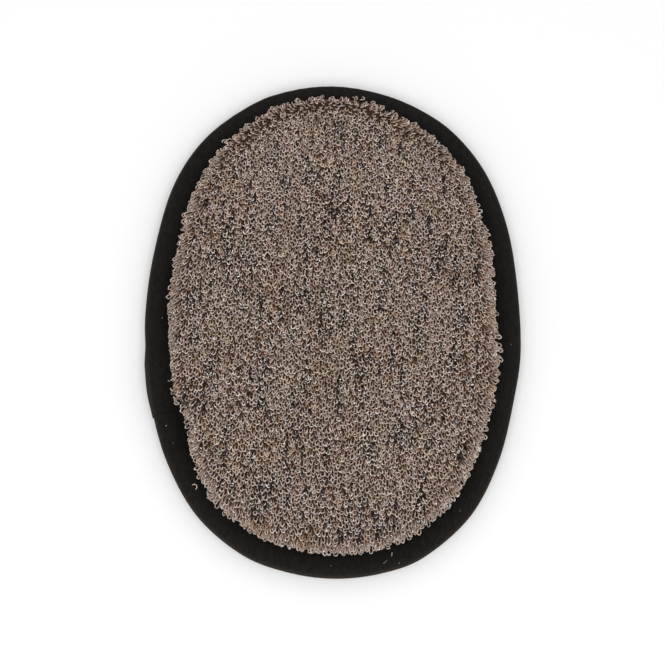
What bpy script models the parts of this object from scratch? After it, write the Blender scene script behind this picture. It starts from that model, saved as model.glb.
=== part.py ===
# Oval bath pad: a looped sisal face over a padded core, bound all round with a folded tape,
# with an elastic hand strap across its back. It lies face up with its length along Y, and the
# underside of the strap rests on Z = 0. All lengths are in metres.

import math

import bmesh
import bpy
import numpy as np
from mathutils import Vector
from mathutils.geometry import delaunay_2d_cdt

# Pad
PAD_LENGTH = 0.170
PAD_WIDTH = 0.127
FIT_GAP = 0.0003
EDGE_MARGIN = 0.0025  # how far the layers stop inside the fold of the tape
FLANGE_CLEARANCE = 0.0008  # from the inner edge of the tape to where the padding swells
WELD_DISTANCE = 0.0000001  # points of the ground cloth nearer than this are one

# Layers
BACK_CLOTH_THICKNESS = 0.0008
FOAM_THICKNESS = 0.0099
FOAM_RIM_THICKNESS = 0.0010
GROUND_CLOTH_THICKNESS = 0.0008

# Binding tape
TAPE_PLY = 0.00040
TAPE_SLIT = 0.00020  # between a lip's two plies
TAPE_LIP = 0.0082  # width of the tape on each face
TAPE_TURN_UNDER = 0.0048
TAPE_FOLD_RADIUS = 0.0023
TAPE_LAP = 0.0170  # how far the tape's end runs on over its start
TAPE_LAP_RAMP = 0.0060
TAPE_START_Y = -0.0153  # where the tape starts, on the left edge

# Hand strap
STRAP_WIDTH = 0.0400
STRAP_THICKNESS = 0.0012
STRAP_END_MARGIN = 0.0014  # from the pad's edge to the strap's end
LIP_DROP_RAMP = 0.0050  # over which the back lip drops to make room for the strap

# Loops of the sisal yarn
YARN_RADIUS = 0.00085
LOOP_HEIGHT = 0.0036  # from the ground cloth to the yarn's middle at the top
LOOP_SPREAD = 0.0037  # between the middles of a loop's feet
LOOP_PITCH = 0.00722
LOOP_JITTER = 0.00030
LOOP_LEAN = 0.0003
EDGE_LOOP_INSET = 0.0020  # from the flange to the feet of the outermost row of loops
EDGE_LOOP_PITCH = 0.0069
EDGE_LOOP_LEAN = 0.0026  # of the outermost loops, which spill over the tape
EDGE_ROW_GAP = 0.0045  # from the outermost row to the loops inside it

# Outline, anticlockwise from the right, as shares of half the width and half the length
OUTLINE_SHARES = [
    (1.000, -0.090), (0.987, 0.183), (0.939, 0.419), (0.830, 0.637), (0.656, 0.808),
    (0.450, 0.914), (0.234, 0.975), (0.002, 1.000), (-0.231, 0.979), (-0.447, 0.916),
    (-0.697, 0.769), (-0.867, 0.561), (-0.963, 0.276), (-0.998, 0.033), (-0.986, -0.141),
    (-0.953, -0.337), (-0.864, -0.557), (-0.705, -0.762), (-0.470, -0.910), (-0.231, -0.977),
    (0.014, -1.000), (0.259, -0.978), (0.476, -0.915), (0.717, -0.757), (0.871, -0.539),
    (0.961, -0.286),
]
CURVE_STEPS = 40  # points of the fine outline between two of its shares

# Swell of the padding, as shares of the way from the middle to the flange
FRONT_CROWN_POWER = 3.0
BACK_FLAT_SHARE = 0.50
CROWN_RING_SHARES = [0.90, 0.74, 0.50, 0.25]
GROUND_RING_SHARES = [0.82, 0.60, 0.33]

# Places along a loop: shares of half its spread, of its height, and of a half turn
LOOP_SHARES = [(1.0, 0.0, 0.0), (0.78, 0.90, 0.25), (-0.78, 0.90, 0.75), (-1.0, 0.0, 1.0)]
EDGE_TURN_SHARE = 0.15  # of a loop's free turn that is left in the outermost row
HEIGHT_SPREAD_SHARE = 0.10

TAPE_STATIONS = 72
FOLD_STEPS = 3  # in each quarter of the tape's fold
LAYER_STATIONS = 40
GRID_ANGLE = 60  # degrees between the rows of the loops' staggered grid
SHARP_ANGLE = 50  # degrees, from which an edge isn't shaded smooth
STRAP_CELLS_LONG = 28
STRAP_CELLS_WIDE = 4
YARN_SIDES = 3
SEED = 12

# Heights, from the lapped tape at the bottom of the edge up through the layers
LIP_THICKNESS = 2 * TAPE_PLY + TAPE_SLIT
LAP_GROWTH = LIP_THICKNESS + FIT_GAP
STRAP_DROP = STRAP_THICKNESS + FIT_GAP
BACK_LIP_TOP = LAP_GROWTH + STRAP_DROP + LIP_THICKNESS
BACK_RIM = BACK_LIP_TOP + FIT_GAP
FOAM_RIM = BACK_RIM + BACK_CLOTH_THICKNESS + FIT_GAP
GROUND_RIM = FOAM_RIM + FOAM_RIM_THICKNESS + FIT_GAP
FRONT_LIP_BOTTOM = GROUND_RIM + GROUND_CLOTH_THICKNESS + FIT_GAP
BACK_MIDDLE = STRAP_THICKNESS + FIT_GAP
FOAM_MIDDLE = BACK_MIDDLE + BACK_CLOTH_THICKNESS + FIT_GAP
GROUND_MIDDLE = FOAM_MIDDLE + FOAM_THICKNESS + FIT_GAP
FLANGE_INSET = TAPE_LIP + FLANGE_CLEARANCE

# name: colour, roughness
FINISHES = {
    "loop_pile_cloth": ((0.33, 0.27, 0.22, 1.0), 0.85),
    "foam_core": ((0.80, 0.76, 0.62, 1.0), 0.95),
    "back_cloth": ((0.42, 0.36, 0.30, 1.0), 0.90),
    "binding_tape": ((0.012, 0.011, 0.011, 1.0), 0.80),
    "hand_strap": ((0.014, 0.013, 0.013, 1.0), 0.75),
}


def clear_scene():
    for thing in list(bpy.data.objects):
        bpy.data.objects.remove(thing, do_unlink=True)


def fine_outline():
    """A smooth closed curve through the outline's shares, scaled to the pad."""
    shares = np.array(OUTLINE_SHARES)
    t = np.linspace(0, 1, CURVE_STEPS, endpoint=False)[:, None]
    spans = []
    for before, a, b, after in zip(
        np.roll(shares, 1, 0), shares, np.roll(shares, -1, 0), np.roll(shares, -2, 0)
    ):
        leave, arrive = (b - before) / 2, (after - a) / 2
        spans.append(
            (2 * t**3 - 3 * t**2 + 1) * a
            + (t**3 - 2 * t**2 + t) * leave
            + (3 * t**2 - 2 * t**3) * b
            + (t**3 - t**2) * arrive
        )
    curve = np.concatenate(spans)
    low, high = curve.min(0), curve.max(0)
    return (curve - (low + high) / 2) / (high - low) * (PAD_WIDTH, PAD_LENGTH)


class Edge:
    """The pad's outer edge, read by the distance along it, anticlockwise."""

    def __init__(self):
        curve = fine_outline()
        self.curve = np.vstack([curve, curve[:1]])
        steps = np.linalg.norm(np.diff(self.curve, axis=0), axis=1)
        self.along = np.concatenate([[0], np.cumsum(steps)])
        self.length = self.along[-1]
        ahead, behind = np.roll(curve, -1, 0), np.roll(curve, 1, 0)
        heading = (ahead - behind) / np.linalg.norm(ahead - behind, axis=1)[:, None]
        inward = np.column_stack([-heading[:, 1], heading[:, 0]])
        self.inward = np.vstack([inward, inward[:1]])

    def read(self, table, distance):
        at = np.mod(distance, self.length)
        return np.column_stack([np.interp(at, self.along, column) for column in table.T])

    def places(self, distance, inset):
        """Points on the edge at these distances, moved inwards by inset."""
        return self.read(self.curve, distance) + inset * self.read(self.inward, distance)

    def left_at(self, y):
        """The distance along the edge of its left side's point at this y."""
        left = np.flatnonzero((self.curve[:-1, 0] < 0) & (np.diff(self.curve[:, 1]) < 0))
        return self.along[left[np.abs(self.curve[left, 1] - y).argmin()]]


EDGE = Edge()


def layer_ring(inset):
    return EDGE.places(np.arange(LAYER_STATIONS) * EDGE.length / LAYER_STATIONS, inset)


FLANGE = layer_ring(FLANGE_INSET)


def swell_share(x, y):
    """0 in the middle of the pad, 1 where its flat flange begins, and 1 beyond."""
    turns = np.arctan2(FLANGE[:, 1], FLANGE[:, 0])
    order = np.argsort(turns)
    reach = np.interp(
        np.arctan2(y, x), turns[order], np.linalg.norm(FLANGE, axis=1)[order], period=math.tau
    )
    return np.minimum(np.hypot(x, y) / reach, 1)


def front_height(x, y, middle, rim):
    return middle + (rim - middle) * swell_share(x, y) ** FRONT_CROWN_POWER


def back_height(x, y, middle, rim):
    rise = np.clip((swell_share(x, y) - BACK_FLAT_SHARE) / (1 - BACK_FLAT_SHARE), 0, 1)
    return middle + (rim - middle) * rise**2


def skin(faces, lower, upper):
    """Quads between two rings of vertex numbers, from the lower to the upper one."""
    for k in range(len(lower)):
        after = (k + 1) % len(lower)
        faces.append((lower[k], lower[after], upper[after], upper[k]))


def finish_object(name, points, faces):
    mesh = bpy.data.meshes.new(name)
    mesh.from_pydata([tuple(p) for p in points], [], faces)
    form = bmesh.new()
    form.from_mesh(mesh)
    bmesh.ops.recalc_face_normals(form, faces=form.faces)
    form.to_mesh(mesh)
    form.free()
    mesh.shade_smooth()
    mesh.set_sharp_from_angle(angle=math.radians(SHARP_ANGLE))
    material = bpy.data.materials.new(name)
    material.use_nodes = True
    shader = material.node_tree.nodes["Principled BSDF"]
    colour, roughness = FINISHES[name]
    shader.inputs["Base Color"].default_value = colour
    shader.inputs["Roughness"].default_value = roughness
    shader.inputs["Metallic"].default_value = 0.0
    material.diffuse_color = colour
    mesh.materials.append(material)
    made = bpy.data.objects.new(name, mesh)
    bpy.context.collection.objects.link(made)
    return made


def layer_face(points, faces, ring_shares, height, middle, rim):
    """One face of a layer: the flange and the swell inside it. Returns its outermost ring."""
    rings = [layer_ring(EDGE_MARGIN), FLANGE] + [FLANGE * share for share in ring_shares]
    numbers = []
    for ring in rings:
        numbers.append(list(range(len(points), len(points) + len(ring))))
        levels = height(ring[:, 0], ring[:, 1], middle, rim)
        points.extend(np.column_stack([ring, levels]).tolist())
    for outer, inner in zip(numbers, numbers[1:]):
        skin(faces, outer, inner)
    points.append((0.0, 0.0, middle))
    last = numbers[-1]
    for k in range(len(last)):
        faces.append((last[k], last[(k + 1) % len(last)], len(points) - 1))
    return numbers[0]


def foam_core():
    points, faces = [], []
    back = layer_face(points, faces, CROWN_RING_SHARES, back_height, FOAM_MIDDLE, FOAM_RIM)
    front = layer_face(
        points, faces, CROWN_RING_SHARES, front_height,
        FOAM_MIDDLE + FOAM_THICKNESS, FOAM_RIM + FOAM_RIM_THICKNESS,
    )
    skin(faces, back, front)
    return finish_object("foam_core", points, faces)


def back_cloth():
    points, faces = [], []
    outside = layer_face(points, faces, CROWN_RING_SHARES, back_height, BACK_MIDDLE, BACK_RIM)
    inside = layer_face(
        points, faces, CROWN_RING_SHARES, back_height,
        BACK_MIDDLE + BACK_CLOTH_THICKNESS, BACK_RIM + BACK_CLOTH_THICKNESS,
    )
    skin(faces, outside, inside)
    return finish_object("back_cloth", points, faces)


def loop_places():
    """Each loop's middle, direction, lean and height: a row along the edge, then the rest."""
    draw = np.random.default_rng(SEED)

    def height():
        return LOOP_HEIGHT * (1 + draw.uniform(-1, 1) * HEIGHT_SPREAD_SHARE)

    found = []
    inset = FLANGE_INSET + EDGE_LOOP_INSET
    row_count = int((EDGE.length - math.tau * inset) / EDGE_LOOP_PITCH)
    for distance in np.arange(row_count) * EDGE.length / row_count:
        outward = -EDGE.read(EDGE.inward, distance)[0]
        turn = math.atan2(outward[0], -outward[1])
        turn += draw.uniform(-math.pi / 2, math.pi / 2) * EDGE_TURN_SHARE
        lean = outward * EDGE_LOOP_LEAN * (1 + draw.uniform(-1, 1) * HEIGHT_SPREAD_SHARE)
        found.append((EDGE.places(distance, inset)[0], turn, lean, height()))
    row_step = LOOP_PITCH * math.sin(math.radians(GRID_ANGLE))
    rows = math.ceil(PAD_LENGTH / row_step / 2)
    columns = math.ceil(PAD_WIDTH / LOOP_PITCH / 2)
    for row in range(-rows, rows + 1):
        for column in range(-columns, columns + 1):
            x = (column + (row % 2) / 2) * LOOP_PITCH + draw.uniform(-1, 1) * LOOP_JITTER
            y = row * row_step + draw.uniform(-1, 1) * LOOP_JITTER
            turn, lean_turn = draw.uniform(0, math.pi), draw.uniform(0, math.tau)
            lean = LOOP_LEAN * np.array([math.cos(lean_turn), math.sin(lean_turn)])
            to_edge = np.linalg.norm(EDGE.curve - (x, y), axis=1).min()
            if to_edge > inset + EDGE_ROW_GAP and swell_share(x, y) < 1:
                found.append((np.array([x, y]), turn, lean, height()))
    return found


def loop_rings(middle, turn, lean, tall, ground):
    """The rings of yarn corners along one loop, from foot to foot."""
    along = np.array([math.cos(turn), math.sin(turn), 0.0])
    across = np.array([-along[1], along[0], 0.0])
    up = np.array([0.0, 0.0, 1.0])
    rings = []
    for out_share, up_share, turn_share in LOOP_SHARES:
        centre = np.array([*middle, 0.0]) + along * out_share * LOOP_SPREAD / 2
        centre += np.array([*lean, 0.0]) * up_share
        centre[2] = ground(centre[0], centre[1]) + tall * up_share
        outward = along * math.cos(math.pi * turn_share) + up * math.sin(math.pi * turn_share)
        ring = []
        for side in range(YARN_SIDES):
            a = math.tau * side / YARN_SIDES
            ring.append(centre + YARN_RADIUS * (math.cos(a) * outward + math.sin(a) * across))
        rings.append(ring)
    for foot in (rings[0], rings[-1]):
        for corner in foot:
            corner[2] = ground(corner[0], corner[1])
    return rings


def ground_top(x, y):
    return float(
        front_height(
            x, y, GROUND_MIDDLE + GROUND_CLOTH_THICKNESS, GROUND_RIM + GROUND_CLOTH_THICKNESS
        )
    )


def loop_pile_cloth():
    """The ground cloth, with each loop of yarn rising out of it and going back in."""
    loops = [loop_rings(*place, ground_top) for place in loop_places()]
    rim = layer_ring(EDGE_MARGIN)
    flat = [Vector(p) for p in rim] + [Vector(p) for p in FLANGE]
    outlines = [list(range(len(rim))), list(range(len(rim), len(flat)))]
    feet = []
    for rings in loops:
        for foot, step in ((rings[0], 1), (rings[-1], -1)):
            numbers = list(range(len(flat), len(flat) + YARN_SIDES))
            flat.extend(Vector(corner[:2]) for corner in foot)
            feet.append(numbers)
            outlines.append(numbers[::step])
    found = delaunay_2d_cdt(flat, [], outlines, 1, WELD_DISTANCE, True)
    laid, triangles, laid_from, filled_by = found[0], found[2], found[3], found[5]
    points = [(p.x, p.y, ground_top(p.x, p.y)) for p in laid]
    number_of = {old: new for new, olds in enumerate(laid_from) for old in olds}
    faces = [
        tuple(face) for face, fill in zip(triangles, filled_by) if not any(f > 1 for f in fill)
    ]
    for n, rings in enumerate(loops):
        start = [number_of[k] for k in feet[2 * n]]
        end = [number_of[k] for k in feet[2 * n + 1]]
        chain = [start]
        for ring in rings[1:-1]:
            chain.append(list(range(len(points), len(points) + YARN_SIDES)))
            points.extend(tuple(corner) for corner in ring)
        chain.append(end)
        for lower, upper in zip(chain, chain[1:]):
            skin(faces, lower, upper)
    underside = layer_face(
        points, faces, GROUND_RING_SHARES, front_height, GROUND_MIDDLE, GROUND_RIM
    )
    skin(faces, underside, [number_of[k] for k in range(len(rim))])
    print("loops of yarn:", len(loops))
    return finish_object("loop_pile_cloth", points, faces)


def tape_section(front_lift, back_drop, growth):
    """The folded tape's closed section, as distances in from the edge and heights."""
    low_out = BACK_LIP_TOP - LIP_THICKNESS + TAPE_PLY / 2 - back_drop
    low_in = BACK_LIP_TOP - TAPE_PLY / 2 - back_drop
    high_in = FRONT_LIP_BOTTOM + TAPE_PLY / 2 + front_lift
    high_out = FRONT_LIP_BOTTOM + LIP_THICKNESS - TAPE_PLY / 2 + front_lift
    wall = TAPE_PLY / 2 - growth
    hem = TAPE_LIP - TAPE_PLY / 2
    turn = (high_out - high_in) / 2
    raw = TAPE_LIP - TAPE_TURN_UNDER
    front = [
        (raw, high_in),
        (hem - turn, high_in),
        (hem, (high_in + high_out) / 2),
        (hem - turn, high_out),
    ]
    back = [
        (hem - turn, low_out),
        (hem, (low_in + low_out) / 2),
        (hem - turn, low_in),
        (raw, low_in),
    ]
    fold = []
    for centre, first in ((high_out - TAPE_FOLD_RADIUS, 90), (low_out + TAPE_FOLD_RADIUS, 180)):
        for step in range(FOLD_STEPS + 1):
            a = math.radians(first + 90 * step / FOLD_STEPS)
            fold.append(
                (
                    wall + TAPE_FOLD_RADIUS * (1 + math.cos(a)),
                    centre + TAPE_FOLD_RADIUS * math.sin(a),
                )
            )
    middle = np.array(front + fold + back)
    steps = np.diff(middle, axis=0)
    steps /= np.linalg.norm(steps, axis=1)[:, None]
    before = np.vstack([steps[:1], steps])
    after = np.vstack([steps, steps[-1:]])
    mitre = before + after
    mitre /= (mitre * before).sum(1)[:, None]
    offset = np.column_stack([-mitre[:, 1], mitre[:, 0]]) * TAPE_PLY / 2
    return np.vstack([middle + offset, (middle - offset)[::-1]])


def smooth_share(value):
    held = np.clip(value, 0, 1)
    return held * held * (3 - 2 * held)


def binding_tape():
    """The tape, swept once round the edge, with its end lapped over its start."""
    start = EDGE.left_at(TAPE_START_Y)
    travel = EDGE.length + TAPE_LAP
    lap_stations = math.ceil(TAPE_STATIONS * (TAPE_LAP + TAPE_LAP_RAMP) / travel)
    run = np.linspace(0, EDGE.length - TAPE_LAP_RAMP, TAPE_STATIONS - lap_stations)
    run = np.append(run, np.linspace(EDGE.length - TAPE_LAP_RAMP, travel, 2 * lap_stations)[1:])
    beside_strap = STRAP_WIDTH / 2 + np.diff(run).max()  # no station's facet cuts the strap's side
    points, faces, rings = [], [], []
    for distance in run:
        place = EDGE.places(start + distance, 0)[0]
        inward = EDGE.read(EDGE.inward, start + distance)[0]
        lapped = smooth_share((distance - EDGE.length + TAPE_LAP_RAMP) / TAPE_LAP_RAMP)
        dropped = 1 - smooth_share((abs(place[1]) - beside_strap) / LIP_DROP_RAMP)
        section = tape_section(
            LAP_GROWTH * lapped,
            STRAP_DROP * dropped + LAP_GROWTH * lapped,
            (TAPE_PLY + FIT_GAP) * lapped,
        )
        rings.append(list(range(len(points), len(points) + len(section))))
        for inset, height in section:
            points.append((*(place + inward * inset), height))
    for lower, upper in zip(rings, rings[1:]):
        skin(faces, lower, upper)
    faces += [tuple(rings[0][::-1]), tuple(rings[-1])]
    return finish_object("binding_tape", points, faces)


def hand_strap():
    """A flat strap across the back, its ends held between the tape and the back cloth."""
    ends = layer_ring(STRAP_END_MARGIN)
    points, faces = [], []
    for y in np.linspace(-STRAP_WIDTH / 2, STRAP_WIDTH / 2, STRAP_CELLS_WIDE + 1):
        right, left = (
            np.interp(y, side[np.argsort(side[:, 1]), 1], side[np.argsort(side[:, 1]), 0])
            for side in (ends[ends[:, 0] > 0], ends[ends[:, 0] < 0])
        )
        for x in np.linspace(left, right, STRAP_CELLS_LONG + 1):
            bottom = float(back_height(x, y, BACK_MIDDLE, BACK_RIM)) - STRAP_DROP
            points.append((x, y, bottom))
            points.append((x, y, bottom + STRAP_THICKNESS))
    wide = STRAP_CELLS_LONG + 1

    def number(row, column, top):
        return 2 * (row * wide + column) + top

    for row in range(STRAP_CELLS_WIDE):
        for column in range(STRAP_CELLS_LONG):
            for top in (0, 1):
                corners = [
                    number(row, column, top),
                    number(row, column + 1, top),
                    number(row + 1, column + 1, top),
                    number(row + 1, column, top),
                ]
                faces.append(tuple(corners if top else corners[::-1]))
    round_strap = [(0, c) for c in range(STRAP_CELLS_LONG)]
    round_strap += [(r, STRAP_CELLS_LONG) for r in range(STRAP_CELLS_WIDE)]
    round_strap += [(STRAP_CELLS_WIDE, c) for c in range(STRAP_CELLS_LONG, 0, -1)]
    round_strap += [(r, 0) for r in range(STRAP_CELLS_WIDE, 0, -1)]
    skin(
        faces,
        [number(row, column, 0) for row, column in round_strap],
        [number(row, column, 1) for row, column in round_strap],
    )
    return finish_object("hand_strap", points, faces)


def build():
    clear_scene()
    lift = bpy.data.objects.new("pad_lift", None)  # the pad rises from its strap along Z
    bpy.context.collection.objects.link(lift)
    for piece in (back_cloth(), foam_core(), loop_pile_cloth(), binding_tape()):
        piece.parent = lift
    hand_strap()


build()
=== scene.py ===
import math

import bpy
import numpy as np
from mathutils import Matrix, Vector, noise


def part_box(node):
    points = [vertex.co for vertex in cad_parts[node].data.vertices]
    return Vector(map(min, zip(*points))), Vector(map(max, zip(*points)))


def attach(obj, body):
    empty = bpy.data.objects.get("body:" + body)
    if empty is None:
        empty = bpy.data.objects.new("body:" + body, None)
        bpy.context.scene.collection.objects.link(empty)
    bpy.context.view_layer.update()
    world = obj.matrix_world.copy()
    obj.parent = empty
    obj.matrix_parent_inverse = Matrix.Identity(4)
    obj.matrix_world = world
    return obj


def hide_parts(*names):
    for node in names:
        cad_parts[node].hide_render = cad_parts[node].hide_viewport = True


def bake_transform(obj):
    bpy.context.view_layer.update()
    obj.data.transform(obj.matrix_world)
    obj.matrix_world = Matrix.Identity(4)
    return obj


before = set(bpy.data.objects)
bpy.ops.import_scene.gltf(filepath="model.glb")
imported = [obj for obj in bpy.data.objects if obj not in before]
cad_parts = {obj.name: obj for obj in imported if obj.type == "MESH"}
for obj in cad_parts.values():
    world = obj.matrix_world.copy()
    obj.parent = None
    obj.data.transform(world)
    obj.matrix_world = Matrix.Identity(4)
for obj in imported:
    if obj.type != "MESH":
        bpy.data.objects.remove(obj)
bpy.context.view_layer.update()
print("frame:", ", ".join(sorted(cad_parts)))


def tint(red, green, blue):
    # a screen colour, 0 to 255, as the linear colour that a shader takes
    shares = [channel / 255 for channel in (red, green, blue)]
    linear = [s / 12.92 if s <= 0.04045 else ((s + 0.055) / 1.055) ** 2.4 for s in shares]
    return (*linear, 1.0)


def smoothShare(value):
    held = np.clip(value, 0, 1)
    return held * held * (3 - 2 * held)


def unit(vectors):
    return vectors / np.linalg.norm(vectors, axis=-1, keepdims=True)


def placed(name, data):
    thing = bpy.data.objects.new(name, data)
    bpy.context.collection.objects.link(thing)
    return thing


# Camera first, as the rest is judged through it
cameraSetup = {
    "azimuth": -9.0,
    "elevation": 77.7,
    "distance": 0.5270,
    "lens": 85.0,
    "aim": (-0.0004, -0.0034, 0.009),
    "clip": (0.02, 20.0),
}


def makeCamera(setup):
    turn, rise = math.radians(setup["azimuth"]), math.radians(setup["elevation"])
    level = math.cos(rise)
    back = Vector((math.sin(turn) * level, -math.cos(turn) * level, math.sin(rise)))
    data = bpy.data.cameras.new("photo_camera")
    data.lens = setup["lens"]
    data.clip_start, data.clip_end = setup["clip"]
    camera = placed("photo_camera", data)
    across = Vector((0, 1, 0)).cross(back).normalized()  # the pad's length runs up the picture
    facing = Matrix((across, back.cross(across), back)).transposed().to_4x4()
    place = Vector(setup["aim"]) + back * setup["distance"]
    camera.matrix_world = Matrix.Translation(place) @ facing
    bpy.context.scene.camera = camera


makeCamera(cameraSetup)
print("camera set")


# Materials
class Wire:
    # a node's output; sums and products of wires become Math nodes
    def __init__(self, finish, socket):
        self.finish = finish
        self.socket = socket

    def maths(self, operation, *values):
        sockets = dict(enumerate(values))
        return self.finish.node("ShaderNodeMath", {"operation": operation}, sockets)

    def __add__(self, other):
        return self.maths("ADD", self, other)

    __radd__ = __add__

    def __sub__(self, other):
        return self.maths("SUBTRACT", self, other)

    def __rsub__(self, other):
        return self.maths("SUBTRACT", other, self)

    def __mul__(self, other):
        return self.maths("MULTIPLY", self, other)

    __rmul__ = __mul__

    def __abs__(self):
        return self.maths("ABSOLUTE", self)

    def sine(self):
        return self.maths("SINE", self)

    def wave(self):
        # a sine that runs between 0 and 1
        return self.sine() * 0.5 + 0.5

    def held(self):
        # between 0 and 1
        return self.finish.node("ShaderNodeClamp", {}, {"Value": self})

    def between(self, low, high):
        # 0 at low, 1 at high, smooth between them
        settings = {"interpolation_type": "SMOOTHSTEP"}
        sockets = {"Value": self, "From Min": low, "From Max": high}
        return self.finish.node("ShaderNodeMapRange", settings, sockets)


class Finish:
    def __init__(self, name, **fixed):
        self.material = bpy.data.materials.new(name)
        self.material.use_nodes = True
        self.tree = self.material.node_tree
        self.shader = self.tree.nodes["Principled BSDF"]
        for socket, value in fixed.items():
            self.shader.inputs[socket.replace("_", " ")].default_value = value
        self.place = self.node("ShaderNodeTexCoord", {}, {}, "Object")

    def node(self, kind, settings, sockets, out=0):
        made = self.tree.nodes.new(kind)
        for key, value in settings.items():
            setattr(made, key, value)
        for key, value in sockets.items():
            self.join(value, made.inputs[key])
        return Wire(self, made.outputs[out])

    def join(self, value, socket):
        if isinstance(value, Wire):
            self.tree.links.new(value.socket, socket)
        else:
            socket.default_value = value

    def noise(self, scale, detail=2.0, roughness=0.5, stretch=None):
        # stretch is how fast it changes along each axis
        vector = self.place
        if stretch:
            sockets = {0: vector, 1: stretch}
            vector = self.node("ShaderNodeVectorMath", {"operation": "MULTIPLY"}, sockets)
        sockets = {"Vector": vector, "Scale": scale, "Detail": detail, "Roughness": roughness}
        return self.node("ShaderNodeTexNoise", {}, sockets)

    def mix(self, share, first, second):
        sockets = {0: share, 6: first, 7: second}
        return self.node("ShaderNodeMix", {"data_type": "RGBA"}, sockets, 2)

    def value(self, name):
        settings = {"attribute_type": "GEOMETRY", "attribute_name": name}
        return self.node("ShaderNodeAttribute", settings, {}, "Fac")

    def axes(self, vector):
        split = self.node("ShaderNodeSeparateXYZ", {}, {"Vector": vector})
        return split, Wire(self, split.socket.node.outputs["Y"])

    def mapped(self, name):
        # the two directions of a piece's own map, in its own units
        return self.axes(self.node("ShaderNodeUVMap", {"uv_map": name}, {}))

    def wear(self, colour, relief, depth, roughness=None):
        # depth is how deep a relief of 1 is; roughness is given where it varies
        sockets = {"Height": relief, "Distance": depth, "Strength": 1.0}
        looks = {"Base Color": colour, "Normal": self.node("ShaderNodeBump", {}, sockets)}
        if roughness is not None:
            looks["Roughness"] = roughness
        for socket, value in looks.items():
            self.join(value, self.shader.inputs[socket])
        return self


# The pad's form, repeated from the solids' own sizes
padForm = {
    "length": 0.170,
    "width": 0.127,
    "outlineShares": [
        (1.000, -0.090), (0.987, 0.183), (0.939, 0.419), (0.830, 0.637), (0.656, 0.808),
        (0.450, 0.914), (0.234, 0.975), (0.002, 1.000), (-0.231, 0.979), (-0.447, 0.916),
        (-0.697, 0.769), (-0.867, 0.561), (-0.963, 0.276), (-0.998, 0.033), (-0.986, -0.141),
        (-0.953, -0.337), (-0.864, -0.557), (-0.705, -0.762), (-0.470, -0.910), (-0.231, -0.977),
        (0.014, -1.000), (0.259, -0.978), (0.476, -0.915), (0.717, -0.757), (0.871, -0.539),
        (0.961, -0.286),
    ],
    "curveSteps": 40,
    "edgeReadings": 720,
    "fitGap": 0.0003,
    "clothThickness": 0.0008,
    "foamRimThickness": 0.0010,
    "layerInset": 0.0025,
    "flangeInset": 0.0090,
    "frontCrownPower": 3.0,
    "backFlatShare": 0.50,
}


class PadEdge:
    # the pad's outer edge, read by the distance along it, anticlockwise
    def __init__(self, form):
        shares = np.array(form["outlineShares"])
        # a smooth curve through the shares: from each start to the next stop
        steps = (1, 0, -1, -2)
        before, start, stop, after = (np.roll(shares, step, 0)[:, None] for step in steps)
        t = np.linspace(0, 1, form["curveSteps"], endpoint=False)[:, None]
        curve = (
            (2 * t**3 - 3 * t**2 + 1) * start
            + (t**3 - 2 * t**2 + t) * (stop - before) / 2
            + (3 * t**2 - 2 * t**3) * stop
            + (t**3 - t**2) * (after - start) / 2
        ).reshape(-1, 2)
        low, high = curve.min(0), curve.max(0)
        curve = (curve - (low + high) / 2) / (high - low) * (form["width"], form["length"])
        self.curve = np.vstack([curve, curve[:1]])
        steps = np.linalg.norm(np.diff(self.curve, axis=0), axis=1)
        self.along = np.concatenate([[0], np.cumsum(steps)])
        self.length = self.along[-1]
        heading = unit(np.roll(curve, -1, 0) - np.roll(curve, 1, 0))
        inward = np.column_stack([-heading[:, 1], heading[:, 0]])
        self.inward = np.vstack([inward, inward[:1]])

    def read(self, table, distance):
        at = np.mod(distance, self.length)
        return np.column_stack([np.interp(at, self.along, column) for column in table.T])

    def places(self, distance, inset):
        return self.read(self.curve, distance) + inset * self.read(self.inward, distance)

    def leftAt(self, y):
        left = np.flatnonzero((self.curve[:-1, 0] < 0) & (np.diff(self.curve[:, 1]) < 0))
        return self.along[left[np.abs(self.curve[left, 1] - y).argmin()]]

    def nearest(self, spots):
        # each spot's distance to the edge and the way out to it
        gaps = np.linalg.norm(self.curve[:-1] - spots[:, None], axis=2)
        best = gaps.argmin(1)
        inside = ((spots - self.curve[best]) * self.inward[best]).sum(1) > 0
        gaps = gaps[np.arange(len(spots)), best]
        return np.where(inside, gaps, -gaps), -self.inward[best]


padEdge = PadEdge(padForm)

# How unevenly the pad was sewn: turn in degrees, and how many mm further in than usual the
# pile's edge stands there
unevenness = [
    (0, 1.0), (14, 1.0), (28, 0.0), (40, 0.5), (52, -1.0), (72, -1.5), (86, -3.5),
    (108, -2.5), (120, -1.0), (132, 0.0), (165, 0.0), (183, 1.0), (190, 0.0), (203, 0.0),
    (208, 3.0), (213, 3.5), (218, 1.5), (228, 0.5), (238, 0.0), (246, 1.0), (265, 1.0),
    (282, 1.0), (294, 1.0), (318, 0.5), (330, 0.0), (350, -0.5),
]


def sewnIn(x, y):
    turns, extra = np.array(unevenness).T
    return np.interp(np.degrees(np.arctan2(y, x)), turns, extra, period=360) / 1000


flangeReadings = np.linspace(0, padEdge.length, padForm["edgeReadings"], endpoint=False)
flange = padEdge.places(flangeReadings, padForm["flangeInset"])
flange = flange[np.argsort(np.arctan2(flange[:, 1], flange[:, 0]))]
flangeTurns = np.arctan2(flange[:, 1], flange[:, 0])
flangeReach = np.linalg.norm(flange, axis=1)


def swellShare(x, y):
    # 0 in the middle of the pad, 1 at its flat flange and beyond
    reach = np.interp(np.arctan2(y, x), flangeTurns, flangeReach, period=math.tau)
    return np.minimum(np.hypot(x, y) / reach, 1)


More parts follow.
